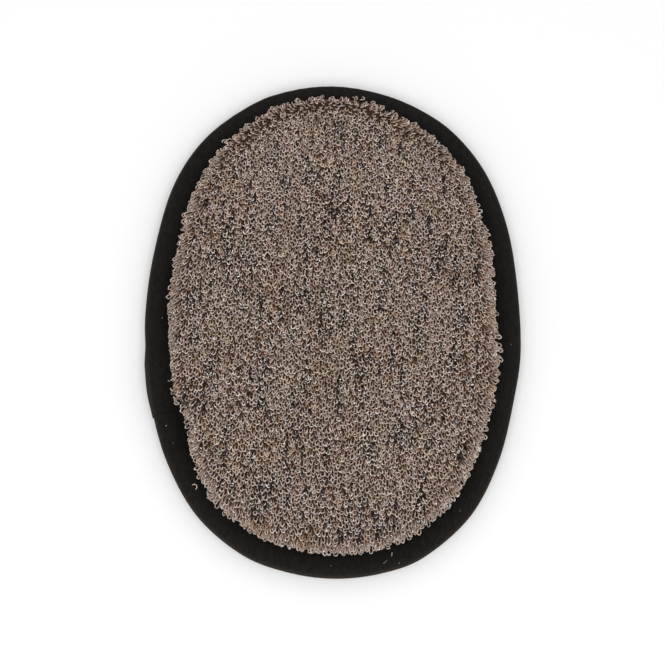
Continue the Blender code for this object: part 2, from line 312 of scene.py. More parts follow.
gap, cloth = padForm["fitGap"], padForm["clothThickness"]
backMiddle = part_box("back_cloth")[0].z
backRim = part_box("hand_strap")[1].z + gap
foamMiddle, foamTop = (corner.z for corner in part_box("foam_core"))
foamRim = backRim + cloth + gap
groundMiddle = foamTop + gap
groundRim = foamRim + padForm["foamRimThickness"] + gap
frontLipBottom = groundRim + cloth + gap


def frontHeight(x, y, middle, rim):
    return middle + (rim - middle) * swellShare(x, y) ** padForm["frontCrownPower"]


def swollen(flat):
    # how much higher the face's cloth is than at its rim
    return frontHeight(flat[..., 0], flat[..., 1], groundMiddle, groundRim) - groundRim


def backHeight(x, y, middle, rim):
    flat = padForm["backFlatShare"]
    rise = np.clip((swellShare(x, y) - flat) / (1 - flat), 0, 1)
    return middle + (rim - middle) * rise**2


# Meshes
def buildPiece(name, points, faceGroups, finish, body="pad"):
    # faceGroups are arrays of vertex numbers, each of faces with as many corners
    corners = np.concatenate([group.ravel() for group in faceGroups]).astype(np.int32)
    sides = np.concatenate([np.full(len(group), group.shape[1]) for group in faceGroups])
    starts = (np.cumsum(sides) - sides).astype(np.int32)
    mesh = bpy.data.meshes.new(name)
    mesh.vertices.add(len(points))
    mesh.vertices.foreach_set("co", np.asarray(points, np.float32).ravel())
    mesh.loops.add(len(corners))
    mesh.loops.foreach_set("vertex_index", corners)
    mesh.polygons.add(len(sides))
    mesh.polygons.foreach_set("loop_start", starts)
    mesh.update(calc_edges=True)
    mesh.validate()
    mesh.shade_smooth()
    mesh.materials.append(finish.material)
    piece = placed(name, mesh)
    if body:
        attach(piece, body)
    return piece


def addMap(piece, name, places):
    layer = piece.data.uv_layers.new(name=name, do_init=False)
    layer.data.foreach_set("uv", np.asarray(places, np.float32).ravel())


def addValue(piece, name, values):
    attribute = piece.data.attributes.new(name, "FLOAT", "POINT")
    attribute.data.foreach_set("value", np.asarray(values, np.float32).ravel())


def gridFaces(rows, columns, closed=False):
    # quads of a grid of points stored row by row; a closed one joins its last column to its first
    wide = columns if closed else columns - 1
    row, column = np.mgrid[: rows - 1, :wide]
    after = (column + 1) % columns
    near, far = row * columns + column, row * columns + after
    return np.stack([near, far, far + columns, near + columns], axis=-1).reshape(-1, 4)


# Yarn: a bent tube for each loop
def mapYarn(piece, centres, turns):
    # one map in turns and lengths, for the twist, and one cell for each yarn, for the bake
    count, steps = centres.shape[:2]
    sides = len(turns)
    lengths = np.linalg.norm(np.diff(centres, axis=1), axis=2)
    run = np.concatenate([np.zeros((count, 1)), np.cumsum(lengths, axis=1)], axis=1)
    step, side = np.divmod(np.arange((steps - 1) * sides), sides)
    roundShares = np.stack([side, side + 1, side + 1, side], axis=1) / sides
    rows = np.stack([step, step, step + 1, step + 1], axis=1)
    around = np.broadcast_to(roundShares, (count, *roundShares.shape))
    twist = np.stack([around, run[:, rows]], axis=-1)
    ends = np.zeros((2 * count * sides, 2))
    addMap(piece, "yarn", np.concatenate([twist.reshape(-1, 2), ends]))
    cells = math.ceil(math.sqrt(count))
    row, column = np.divmod(np.arange(count), cells)
    margin = 0.08
    u = (column[:, None, None] + margin + (1 - 2 * margin) * roundShares) / cells
    v = (row[:, None, None] + margin + (1 - 2 * margin) * rows / (steps - 1)) / cells
    capTurns = np.stack([np.cos(turns), np.sin(turns)], axis=-1) * margin / 3
    middles = np.stack([column + 0.5, row + margin / 2], axis=-1)
    lower = (middles[:, None] + capTurns) / cells
    upper = (middles[:, None] + (0, 1 - margin) + capTurns) / cells
    bake = [part.reshape(-1, 2) for part in (np.stack([u, v], axis=-1), lower, upper)]
    addMap(piece, "OFBake", np.concatenate(bake))


def yarnPiece(name, centres, sideways, radius, finish, slotName, sides=5, marks=None):
    # centres and sideways are (yarns, points, 3), radius is (yarns, points)
    count, steps = centres.shape[:2]
    ahead = unit(np.gradient(centres, axis=1))
    across = unit(sideways - (sideways * ahead).sum(-1, keepdims=True) * ahead)
    over = np.cross(ahead, across)
    turns = np.arange(sides) * math.tau / sides
    outward = (
        np.cos(turns)[:, None] * across[:, :, None] + np.sin(turns)[:, None] * over[:, :, None]
    )
    rings = centres[:, :, None] + radius[:, :, None, None] * outward
    firsts = np.arange(count) * steps * sides
    quads = (firsts[:, None, None] + gridFaces(steps, sides, closed=True)).reshape(-1, 4)
    near = firsts[:, None] + np.arange(sides)[::-1]
    far = firsts[:, None] + (steps - 1) * sides + np.arange(sides)
    piece = buildPiece(name, rings.reshape(-1, 3), [quads, near, far], finish)
    mapYarn(piece, centres, turns)
    # how far each point faces up, read by the yarn's painted light and shade
    addValue(piece, "facing", outward[..., 2])
    for key, values in (marks or {}).items():
        addValue(piece, key, np.repeat(values, sides, axis=1))
    return piece


def laidYarn(name, centres, upward, radius, finish, slotName, **more):
    # yarn that lies flat, on top of the pad or under it
    sideways = np.zeros_like(centres)
    sideways[..., 2] = upward
    radius = np.broadcast_to(radius, centres.shape[:2])
    yarnPiece(name, centres, sideways, radius, finish, slotName, **more)


yarnLook = {
    "plies": 2,
    "twistPitch": 0.0011,
    "fibreScale": 2600.0,
    "patchScale": 320.0,
    "paintedGlintScale": 1700.0,
    "light": 0.18,  # share of the light colour, and how far each of the next four moves it
    "byShade": 0.30,
    "byPly": 0.10,
    "byFibre": 1.1,
    "byPatch": 0.3,
    # painted light and shade by how the yarn faces, and painted shade down at the loop's root
    "underside": 0.30,  # share of its own colour that the yarn keeps where it faces down
    "facing": (-0.3, 0.95),
    "rise": (0.3, 1.0),  # shares of the loop's height between which the painted root shade gives way to the yarn's colour
    "roughSpread": 0.18,
    "relief": 0.00004,
}


def yarnFinish(name, light, dark, paintedRootShade, gloss, glints, paintedGlintRange):
    finish = Finish(name, Specular_IOR_Level=0.6)
    around, along = finish.mapped("yarn")
    twist = along * (math.tau / yarnLook["twistPitch"])
    ply = (around * yarnLook["plies"] * math.tau + twist).sine()
    fibre = finish.noise(yarnLook["fibreScale"], detail=3.0)
    patch = finish.noise(yarnLook["patchScale"], detail=1.0)
    share = (
        yarnLook["light"]
        + yarnLook["byShade"] * finish.value("shade")
        + yarnLook["byPly"] * ply
        + yarnLook["byFibre"] * (fibre - 0.5)
        + yarnLook["byPatch"] * (patch - 0.5)
    ).held()
    # painted light and shade: paler where the yarn faces up out of the pile, painted shade where
    # it faces down and down between the loops
    under = yarnLook["underside"]
    paintedLit = under + (1 - under) * finish.value("facing").between(*yarnLook["facing"])
    paintedLit = paintedLit * finish.value("rise").between(*yarnLook["rise"])
    colour = finish.mix(paintedLit, paintedRootShade, finish.mix(share, dark, light))
    # painted glints: pale flecks where short shiny fibres would catch the light, kept off the
    # painted shade
    paintedGlint = finish.noise(yarnLook["paintedGlintScale"], detail=1.0, stretch=(1.0, 0.4, 1.0))
    colour = finish.mix(paintedGlint.between(*paintedGlintRange) * paintedLit, colour, glints)
    rough = gloss + yarnLook["roughSpread"] * fibre
    return finish.wear(colour, ply + fibre * 1.5, yarnLook["relief"], rough)


yarnColours = {
    # light and dark colours, the painted root shade's colour, and the lowest roughness
    "taupe": (tint(252, 234, 224), tint(174, 155, 144), tint(164, 132, 110), 0.28),
    "ash": (tint(242, 228, 222), tint(164, 149, 142), tint(150, 123, 106), 0.28),
    "beige": (tint(255, 238, 221), tint(190, 166, 148), tint(170, 136, 108), 0.28),
    "oat": (tint(252, 237, 219), tint(178, 162, 143), tint(160, 131, 106), 0.28),
    "brown": (tint(226, 200, 180), tint(149, 124, 106), tint(136, 107, 86), 0.32),
    "slate": (tint(108, 99, 95), tint(38, 31, 28), tint(28, 20, 15), 0.12),
}
paintedYarnGlints = {
    # the painted glints' colour, and where in the noise they start and are full
    "slate": (tint(255, 246, 238), (0.51, 0.60)),
    "other": (tint(255, 252, 247), (0.58, 0.72)),
}
yarnFinishes = {
    name: yarnFinish(name + "_yarn", *values, *paintedYarnGlints.get(name, paintedYarnGlints["other"]))
    for name, values in yarnColours.items()
}

pile = {
    "seed": 21,
    "waleStep": (0.000918, -0.000063),  # across the pad, from one wale of loops to the next
    "courseStep": (-0.000083, -0.001704),  # down a wale, from one loop to the next
    "reach": 0.55,  # of the pad's size, each way from its middle
    "drift": 0.0005,  # how far the knit is pulled out of line, slowly
    "driftSize": 0.030,
    "driftLayers": (3.1, 8.4),  # where the noise is read, for each direction
    "noiseReach": 0.3,  # either way, so that the drift is in metres
    "scatter": 0.00010,  # and each loop by itself
    "combedSpread": 14.0,  # degrees either side of straight down the pad
    "yarnRadius": 0.00021,
    "radiusSpread": (0.07, 0.05),  # shares, from yarn to yarn and along each
    "halfWidth": (0.00044, 0.00062),
    "footGap": 0.00016,
    "length": (0.0022, 0.0032),
    "bendStart": (15.0, 35.0),  # degrees from upright, at the foot
    "bendEnd": (58.0, 88.0),  # and at the top
    "twist": 37.0,  # degrees either way
    "kink": 0.00012,
    "sink": 0.0004,  # how deep the feet go into the ground cloth
    "edgeInset": 0.0096,
    "topOutset": 0.0017,  # nearer the edge at the top, where the loops stand up
    "edgeRow": (0.0001, 0.0012),  # loops that fill up the pile's edge, this far in from it
    "edgePitch": 0.00090,
    "edgeReach": 0.0032,  # how far in from the edge the loops lean outwards
    "edgeLean": 0.95,  # outwards, against the lean down the pad
    "leastLean": 0.4,  # of the bend that is left where those two cancel
    "edgeLength": (0.0033, 0.0047),
    "topShorter": 0.45,  # share, where they stand up
    "edgeHalfWidth": (0.00045, 0.00066),
    "edgeFlat": 18.0,  # degrees more at the foot, so the legs show
    "edgeBend": (62.0, 95.0),
    # painted shade on the loops near the edge, against the light they catch lying flatter
    "edgeShade": 0.62,  # how much darker
    "streakLength": 0.016,  # of the glossy dark yarn, which runs down single wales
    "streakLayer": 0.3,
    "streakStep": 3.7,  # in the noise, from one wale to the next
    "streakLoose": 0.12,  # how readily it breaks off
    "waleLean": 0.65,  # it keeps to every other wale
    "waleShade": 0.50,  # how much paler the wales between are
    "slateShare": 0.14,
    "slateInset": 0.0125,  # none is nearer the pad's edge
    "warmthSize": (0.009, 0.011),  # of the patches of warmer and cooler yarn
    "warmthLayer": 9.7,
    "warmthLoose": 0.40,
}

loopKinds = {
    # from the coolest to the warmest: the yarn's colour, and the share of the loops
    "taupe_loops": ("taupe", 0.18),
    "ash_loops": ("ash", 0.18),
    "grey_taupe_loops": ("taupe", 0.16),
    "oat_loops": ("oat", 0.18),
    "beige_loops": ("beige", 0.18),
    "brown_loops": ("brown", 0.12),
}

# A loop's leg: shares of its height, and of the half width there; then the round top's points
legShares = [(0.0, 0.0), (0.40, 0.66), (0.78, 0.98)]
roundTop = 5


def loopCentres(feet, turns, sizes):
    # sizes: length, halfWidth, bendStart, bendEnd, twist of each loop
    length, halfWidth, bendStart, bendEnd, twist = (sizes[:, k : k + 1] for k in range(5))
    heightShares, widthShares = np.array(legShares).T
    legHeight = (length - halfWidth) * heightShares
    legWidth = pile["footGap"] + (halfWidth - pile["footGap"]) * widthShares
    arc = math.pi * np.arange(roundTop) / (roundTop - 1)
    topHeight = length - halfWidth + halfWidth * np.sin(arc)
    height = np.hstack([legHeight, topHeight, legHeight[:, ::-1]])
    width = np.hstack([-legWidth, -halfWidth * np.cos(arc), legWidth[:, ::-1]])
    bending = (bendEnd - bendStart) / length
    angle = bendStart + bending * height
    out = (np.cos(bendStart) - np.cos(angle)) / bending
    up = (np.sin(angle) - np.sin(bendStart)) / bending
    rising = np.array([0.0, 0.0, 1.0])
    lean = np.column_stack([np.cos(turns), np.sin(turns), 0 * turns])[:, None]
    beside = np.cross(rising, lean)
    face = lean * np.cos(angle)[..., None] - rising * np.sin(angle)[..., None]
    turned = (twist * height / length)[..., None]
    across = beside * np.cos(turned) + face * np.sin(turned)
    centres = feet[:, None] + lean * out[..., None] + rising * up[..., None]
    centres += across * width[..., None]
    return centres, face * np.cos(turned) - beside * np.sin(turned), height / length


def field(x, y, layer):
    return np.array([noise.noise(Vector((a, b, layer))) for a, b in zip(x, y)])


def pileInset(outward):
    return pile["edgeInset"] - pile["topOutset"] * np.clip(outward[:, 1], 0, 1) ** 2


def edgeSpots(draw):
    travel = np.arange(0, padEdge.length, pile["edgePitch"])
    inset = pileInset(-padEdge.read(padEdge.inward, travel))
    inset += draw.uniform(*pile["edgeRow"], len(travel))
    inset += sewnIn(*padEdge.places(travel, 0).T)
    return padEdge.places(travel, inset[:, None])


def pileSpots(draw):
    # the knit's own lattice: every other wale sits half a course lower
    waleStep, courseStep = np.array(pile["waleStep"]), np.array(pile["courseStep"])
    wales = math.ceil(pile["reach"] * padForm["width"] / np.linalg.norm(waleStep))
    courses = math.ceil(pile["reach"] * padForm["length"] / np.linalg.norm(courseStep))
    wale, course = np.mgrid[-wales : wales + 1, -courses : courses + 1].reshape(2, -1)
    spots = wale[:, None] * waleStep + (course + (wale % 2) / 2)[:, None] * courseStep
    slow = spots.T / pile["driftSize"]
    pulled = np.column_stack([field(*slow, layer) for layer in pile["driftLayers"]])
    spots += pile["drift"] * pulled / pile["noiseReach"]
    spots += draw.normal(0, pile["scatter"], spots.shape)
    toEdge, outward = padEdge.nearest(spots)
    inside = toEdge - sewnIn(*spots.T) > pileInset(outward)
    filling = edgeSpots(draw)
    wale = np.append(wale[inside], np.arange(len(filling)))
    return np.concatenate([spots[inside], filling]), wale


def loopSizes(draw, edgeShare, leanShare):
    def between(low, high):
        return draw.uniform(low, high, len(edgeShare))

    def graded(inner, edge):
        return between(*pile[inner]) * (1 - edgeShare) + between(*pile[edge]) * edgeShare

    length = graded("length", "edgeLength")
    length *= 1 - pile["topShorter"] * edgeShare * (1 - leanShare)
    bendEnd = graded("bendEnd", "edgeBend") * leanShare
    bendStart = (between(*pile["bendStart"]) + pile["edgeFlat"] * edgeShare) * leanShare
    twist = between(-pile["twist"], pile["twist"])
    halfWidth = graded("halfWidth", "edgeHalfWidth")
    return np.column_stack([length, halfWidth, *np.radians([bendStart, bendEnd, twist])])


def sortLoops(draw, spots, wale, toEdge):
    # the loops of each piece: slate in streaks, the other yarns by how warm they are
    count = len(spots)
    down = spots[:, 1] / pile["streakLength"]
    streak = field(wale * pile["streakStep"], down, pile["streakLayer"])
    streak += pile["waleLean"] * (wale % 2) + draw.normal(0, pile["streakLoose"], count)
    slate = (streak > np.quantile(streak, 1 - pile["slateShare"])) & (toEdge > pile["slateInset"])
    warmth = field(*(spots / pile["warmthSize"]).T, pile["warmthLayer"])
    warmth += draw.normal(0, pile["warmthLoose"], count)
    rank = np.empty(count)
    rank[np.argsort(warmth)] = np.arange(count) / count
    kinds, reached = [], 0.0
    for name, (colour, share) in loopKinds.items():
        kinds.append((name, colour, ~slate & (rank >= reached) & (rank < reached + share)))
        reached += share
    return [*kinds, ("slate_loops", "slate", slate)]


def makePile():
    draw = np.random.default_rng(pile["seed"])
    spots, wale = pileSpots(draw)
    count = len(spots)
    toEdge, outward = padEdge.nearest(spots)
    fromPileEdge = toEdge - sewnIn(*spots.T) - pileInset(outward)
    edgeShare = np.exp(-((fromPileEdge / pile["edgeReach"]) ** 2))
    leans = np.radians(-90 + draw.normal(0, pile["combedSpread"], count))
    heading = np.column_stack([np.cos(leans), np.sin(leans)])
    heading += outward * edgeShare[:, None] * pile["edgeLean"]
    turns = np.arctan2(heading[:, 1], heading[:, 0])
    # at the top the two leans nearly cancel, so the loops stand up there
    leanShare = np.clip(np.linalg.norm(heading, axis=1), pile["leastLean"], 1)
    sizes = loopSizes(draw, edgeShare, leanShare)
    ground = frontHeight(*spots.T, groundMiddle, groundRim) + cloth
    feet = np.column_stack([spots, ground - pile["sink"]])
    centres, sideways, rise = loopCentres(feet, turns, sizes)
    centres += draw.normal(0, pile["kink"], centres.shape) * np.clip(rise * 3, 0, 1)[..., None]
    shade = draw.uniform(-1.0, 1.0, count) + pile["waleShade"] * (1 - 2 * (wale % 2))
    # painted shade: the loops near the edge are coloured darker
    shade -= pile["edgeShade"] * edgeShare
    shade = np.broadcast_to(shade[:, None], rise.shape)
    kinds = sortLoops(draw, spots, wale, toEdge)
    fromYarn, alongYarn = pile["radiusSpread"]
    radius = pile["yarnRadius"] * (1 + draw.normal(0, fromYarn, (count, 1)))
    radius = radius * (1 + draw.normal(0, alongYarn, rise.shape))
    made = []
    for name, colour, chosen in kinds:
        form = (centres[chosen], sideways[chosen], radius[chosen])
        # rise is each point's share of its loop's height, for the painted root shade
        marks = {"shade": shade[chosen], "rise": rise[chosen]}
        made.append(yarnPiece(name, *form, yarnFinishes[colour], "sisal_loops", marks=marks))
        print("  ", name, int(chosen.sum()))
    return made


loopPieces = makePile()
print("pile made")


# Layers: the ground cloth, the foam and the back cloth
layerForm = {
    "stations": 220,
    "rimRings": 6,
    "swellRings": 34,
    "walePitch": 0.0016,
    "coursePitch": 0.0010,
    "weavePitch": 0.00050,
    "foamCells": 1400.0,
}


def layerPoints(height, middle, rim):
    # one face of a layer: rings from its rim in to the flange and on to the middle
    distance = np.linspace(0, padEdge.length, layerForm["stations"], endpoint=False)
    insets = np.linspace(padForm["layerInset"], padForm["flangeInset"], layerForm["rimRings"])
    rings = [padEdge.places(distance, inset) for inset in insets]
    shares = np.linspace(1, 0, layerForm["swellRings"] + 1)[1:-1]
    rings += [rings[-1] * share for share in shares]
    flat = np.vstack([*rings, [[0.0, 0.0]]])
    return np.column_stack([flat, height(*flat.T, middle, rim)]), len(rings)


def layerPiece(name, lower, upper, finish):
    # lower and upper are the height's function and its values in the middle and at the rim
    under, ringCount = layerPoints(*lower)
    over = layerPoints(*upper)[0]
    stations = layerForm["stations"]
    top = gridFaces(ringCount, stations, closed=True)
    base = len(over)
    station = np.arange(stations)
    after = (station + 1) % stations
    inner = (ringCount - 1) * stations
    topFan = np.stack([inner + station, inner + after, np.full(stations, base - 1)], axis=1)
    rimBand = np.stack([base + station, base + after, after, station], axis=1)
    faces = [top, base + top[:, ::-1], rimBand, topFan, base + topFan[:, [1, 0, 2]]]
    return buildPiece(name, np.vstack([over, under]), faces, finish)


def knitFinish():
    finish = Finish("ground_knit", Roughness=0.9)
    across, along = finish.axes(finish.place)
    wale = abs((across * (math.pi / layerForm["walePitch"])).sine())
    course = (along * (math.tau / layerForm["coursePitch"]) + wale * 2.4).wave()
    fleck = finish.noise(900.0)
    # the knit's own brown, made dark as painted shade for the shade down between the loops
    colour = finish.mix(course * wale, tint(40, 26, 16), tint(88, 62, 40))
    colour = finish.mix(fleck * 0.6, colour, tint(64, 44, 29))
    return finish.wear(colour, course * wale + fleck * 0.4, 0.0002)


def foamFinish():
    finish = Finish("cream_foam", Roughness=0.95)
    sockets = {"Vector": finish.place, "Scale": layerForm["foamCells"]}
    pore = finish.node("ShaderNodeTexVoronoi", {"feature": "F1"}, sockets).between(0.05, 0.55)
    patch = finish.noise(90.0)
    colour = finish.mix(pore, tint(170, 158, 120), tint(236, 228, 198))
    return finish.wear(finish.mix(patch * 0.5, colour, tint(226, 212, 170)), pore, 0.0003)


def weaveFinish():
    finish = Finish("taupe_plain_weave", Roughness=0.88, Sheen_Weight=0.2, Sheen_Roughness=0.5)
    across, along = finish.axes(finish.place)
    turn = math.pi / layerForm["weavePitch"]
    slub = finish.noise(700.0, stretch=(1.0, 0.12, 1.0))
    pick = finish.noise(700.0, stretch=(0.12, 1.0, 1.0))
    warp = (across * turn + slub * 0.8).sine()
    weft = (along * turn + pick * 0.8).sine()
    over = (warp * weft).between(-0.35, 0.35)
    height = over * abs(warp) + (1 - over) * abs(weft)
    patch = finish.noise(45.0, detail=3.0)
    colour = finish.mix(over, tint(132, 116, 100), tint(160, 143, 126))
    colour = finish.mix(height, tint(78, 66, 56), colour)
    return finish.wear(finish.mix(patch * 0.45, colour, tint(120, 103, 88)), height, 0.00018)


groundCloth = layerPiece(
    "ground_cloth",
    (frontHeight, groundMiddle, groundRim),
    (frontHeight, groundMiddle + cloth, groundRim + cloth),
    knitFinish(),
)
foamFilling = layerPiece(
    "foam_filling",
    (backHeight, foamMiddle, foamRim),
    (frontHeight, foamTop, foamRim + padForm["foamRimThickness"]),
    foamFinish(),
)
backCloth = layerPiece(
    "woven_back_cloth",
    (backHeight, backMiddle, backRim),
    (backHeight, backMiddle + cloth, backRim + cloth),
    weaveFinish(),
)
for piece in [groundCloth, *loopPieces]:
    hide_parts("loop_pile_cloth")
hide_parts("foam_core")
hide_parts("back_cloth")
edgeX, edgeY = padEdge.curve.T
ovalArea = 0.5 * abs(np.dot(edgeX[:-1], edgeY[1:]) - np.dot(edgeY[:-1], edgeX[1:]))
clothCut = tuple(padForm[side] - 2 * padForm["layerInset"] for side in ("width", "length"))
clothArea = ovalArea * clothCut[0] * clothCut[1] / padForm["width"] / padForm["length"]
print("layers made")


# Binding tape, folded round the edge and lapped over its own start
tapeForm = {
    "ply": 0.0004,
    "slit": 0.0002,  # between a lip's two plies
    "lip": 0.0082,  # the width on each face
    "turnUnder": 0.0048,
    "foldRadius": 0.0023,
    "lap": 0.0170,
    "lapRamp": 0.0090,
    "endPress": 0.0010,  # how much flatter the lap's end is
    "endRamp": 0.0070,
    "endSnug": 0.50,  # how much closer its fold lies there
    "snugRamp": 0.010,
    "endRings": (0.0004, 0.0002, 0.0),  # the last sections, this far from the end
    "startY": -0.0153,
    "dropRamp": 0.0050,  # beside the strap's ends, where the lower lip makes room for them
    "stations": 720,
    "lipSteps": 16,
    "foldSteps": 7,
    "hemSteps": 4,
    "seamInset": 0.0076,
    "seamWidth": 0.0007,
    "seamDepth": 0.00016,
    "stitchPitch": 0.0031,
    "pucker": 0.00012,
    "puckerPitch": 0.0052,
    "puckerSlant": 0.0075,
    "puckerDrift": (0.061, 0.043),  # the lengths over which their spacing changes
    "puckerSwell": 0.117,  # and their height
    "puckerStart": 0.0015,
    "frontRamp": 0.002,
    "frontStart": 0.0022,  # below the front lip, where the tape starts to follow the pad's swell
    "wearAndSheenWidth": 0.0013,
    "twillPitch": 0.00085,
    "threadPitch": 0.00042,
}
lipThickness = 2 * tapeForm["ply"] + tapeForm["slit"]
lapGrowth = lipThickness + gap
strapThickness = backMiddle - gap
strapDrop = strapThickness + gap
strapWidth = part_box("hand_strap")[1].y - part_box("hand_strap")[0].y
backLipTop = lapGrowth + strapDrop + lipThickness
tapeStart = padEdge.leftAt(tapeForm["startY"])
tapeTravel = padEdge.length + tapeForm["lap"]


def ramped(distance, place, ramp):
    # 0 until a ramp's length before the place, 1 from the place on
    return smoothShare((distance - place + ramp) / ramp)


def tapeLapped(distance):
    return ramped(distance, padEdge.length, tapeForm["lapRamp"])


def tapeDropped(y):
    beside = strapWidth / 2 + tapeForm["dropRamp"]
    return 1 - smoothShare((np.abs(y) - beside) / tapeForm["dropRamp"])


def tapeRelief(distance, inset):
    # the dimples along the seam, and the soft puckers that the stitches draw out from it
    seam = np.exp(-(((inset - tapeForm["seamInset"]) / tapeForm["seamWidth"]) ** 2))
    stitch = 0.7 + 0.3 * np.cos(math.tau * distance / tapeForm["stitchPitch"])
    wave = distance / tapeForm["puckerPitch"] + inset / tapeForm["puckerSlant"]
    slow, fast = (math.tau * distance / span for span in tapeForm["puckerDrift"])
    wave = wave + 0.35 * (np.sin(slow + 1.3) + np.sin(fast))
    swell = 0.6 + 0.35 * np.sin(math.tau * distance / tapeForm["puckerSwell"] + 0.4)
    start = smoothShare(inset / tapeForm["puckerStart"])
    lift = tapeForm["pucker"] * swell * np.sin(math.tau * wave) * start
    return lift - tapeForm["seamDepth"] * seam * stitch


def tapeMiddle(frontLift, backDrop, growth, wider):
    # the tape's middle line in section, as distances in from the edge and heights
    ply, lip = tapeForm["ply"], tapeForm["lip"]
    lowOut = backLipTop - lipThickness + ply / 2 - backDrop
    lowIn = backLipTop - ply / 2 - backDrop
    highIn = frontLipBottom + ply / 2 + frontLift
    highOut = frontLipBottom + lipThickness - ply / 2 + frontLift
    wall = ply / 2 - growth
    hem = lip - ply / 2
    turn = (highOut - highIn) / 2
    radius = tapeForm["foldRadius"]
    raw = lip - tapeForm["turnUnder"]
    frontRaw = max(raw + wider, wall + radius + ply)

    def hemTurn(low, high, first):
        angles = np.radians(np.linspace(first, -first, tapeForm["hemSteps"] + 1))
        across = hem - turn + turn * np.cos(angles)
        return np.column_stack([across, (low + high) / 2 + turn * np.sin(angles)])

    def flat(start, stop, steps, level):
        return np.column_stack([np.linspace(start, stop, steps), np.full(steps, level)])

    fold = []
    for centre, first in ((highOut - radius, 90), (lowOut + radius, 180)):
        angles = np.radians(first + 90 * np.linspace(0, 1, tapeForm["foldSteps"] + 1))
        across = wall + radius * (1 + np.cos(angles))
        fold.append(np.column_stack([across, centre + radius * np.sin(angles)]))
    steps = tapeForm["lipSteps"]
    line = [
        flat(frontRaw, hem + wider - turn, steps // 2, highIn)[:-1],
        hemTurn(highIn, highOut, -90) + (wider, 0),
        flat(hem + wider - turn, wall + radius, steps, highOut)[1:-1],
        *fold,
        flat(wall + radius, hem - turn, steps, lowOut)[1:-1],
        hemTurn(lowOut, lowIn, -90),
        flat(hem - turn, raw, steps // 2, lowIn)[1:],
    ]
    return np.vstack(line)


def tapeSection(distance, edge, inwards):
    lapped, dropped = tapeLapped(distance), tapeDropped(edge[1])
    snug = 1 - tapeForm["endSnug"] * ramped(distance, tapeTravel, tapeForm["snugRamp"])
    wider = sewnIn(*edge)
    middle = tapeMiddle(
        lapGrowth * lapped,
        strapDrop * dropped + lapGrowth * lapped,
        (tapeForm["ply"] + gap) * lapped * snug,
        wider,
    )
    aboveStart = middle[:, 1] - frontLipBottom + tapeForm["frontStart"]
    front = smoothShare(aboveStart / tapeForm["frontRamp"])
    swell = swollen(edge + inwards * middle[:, :1])
    relief = tapeRelief(distance, middle[:, 0] - wider)
    pressed = tapeForm["endPress"] * ramped(distance, tapeTravel, tapeForm["endRamp"]) ** 2
    middle[:, 1] += (relief + swell - pressed) * front
    steps = unit(np.diff(middle, axis=0))
    before, after = np.vstack([steps[:1], steps]), np.vstack([steps, steps[-1:]])
    mitre = before + after
    mitre /= (mitre * before).sum(1)[:, None]
    offset = np.column_stack([-mitre[:, 1], mitre[:, 0]]) * tapeForm["ply"] / 2
    run = np.concatenate([[0], np.cumsum(np.linalg.norm(np.diff(middle, axis=0), axis=1))])
    return np.vstack([middle + offset, (middle - offset)[::-1]]), np.concatenate([run, run[::-1]])


def twillFinish():
    finish = Finish("black_twill_tape", Specular_IOR_Level=0.08)
    along, across = finish.mapped("tape")
    slub = finish.noise(420.0)
    turn, threadTurn = math.tau / tapeForm["twillPitch"], math.tau / tapeForm["threadPitch"]
    rib = ((along * 0.8 + across) * turn + slub * 4.0).wave()
    thread = ((along - across * 0.35) * threadTurn).wave()
    lint = finish.noise(1500.0, detail=4.0, roughness=0.65).between(0.60, 0.74)
    wearAndSheen = finish.value("wearAndSheen")
    mottle = finish.noise(60.0, detail=3.0)
    # painted shade: the tape is coloured darker towards the pile, where the loops shade it
    inner = finish.value("fromEdge").between(0.0, 1.1)
    dark = finish.mix(inner, tint(20, 18, 16), tint(3, 3, 2))
    light = finish.mix(inner, tint(38, 35, 32), tint(15, 14, 12))
    fleck = finish.noise(1000.0, stretch=(1.0, 0.5, 1.0))
    colour = finish.mix((rib * 0.55 + fleck.between(0.3, 0.7) * 0.45).held(), dark, light)
    # wear and painted sheen: paler brown along the top of the fold, patchy with the mottle
    colour = finish.mix((wearAndSheen * (0.25 + mottle)).held(), colour, tint(54, 46, 40))
    colour = finish.mix(lint * 0.25, colour, tint(74, 68, 64))
    relief = rib * (0.6 + 0.4 * thread) + slub * 0.7
    return finish.wear(colour, relief, 0.00008, 0.74 + 0.16 * slub)


def makeTape():
    distances = np.linspace(0, tapeTravel, tapeForm["stations"])
    distances = np.append(distances[:-1], tapeTravel - np.array(tapeForm["endRings"]))
    edges = padEdge.places(tapeStart + distances, 0)
    inward = padEdge.read(padEdge.inward, tapeStart + distances)
    rings, runs = [], []
    for distance, edge, inwards in zip(distances, edges, inward):
        section, run = tapeSection(distance, edge, inwards)
        rings.append(np.column_stack([edge + inwards * section[:, :1], section[:, 1]]))
        runs.append(run)
    rings, runs = np.array(rings), np.array(runs)
    count = rings.shape[1]
    quads = gridFaces(len(rings), count, closed=True)
    point = np.arange(count // 2 - 1)
    cap = np.stack([point, point + 1, count - 2 - point, count - 1 - point], axis=1)
    caps = [cap[:, ::-1], (len(rings) - 1) * count + cap]
    points = rings.reshape(-1, 3)
    piece = buildPiece("edge_binding", points, [quads, *caps], twillFinish())
    corners = np.concatenate([quads.ravel(), *[cap.ravel() for cap in caps]])
    places = np.column_stack([distances[corners // count], runs.reshape(-1)[corners]])
    addMap(piece, "tape", places)
    # where the wear and painted sheen lie: on the front face, near the fold
    high = smoothShare((rings[:, :, 2] - backLipTop) / tapeForm["frontRamp"])
    inset = np.linalg.norm(rings[:, :, :2] - edges[:, None], axis=2)
    addValue(piece, "wearAndSheen", high * (1 - smoothShare(inset / tapeForm["wearAndSheenWidth"])))
    addValue(piece, "fromEdge", inset / tapeForm["lip"])
    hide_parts("binding_tape")


makeTape()
print("binding made")


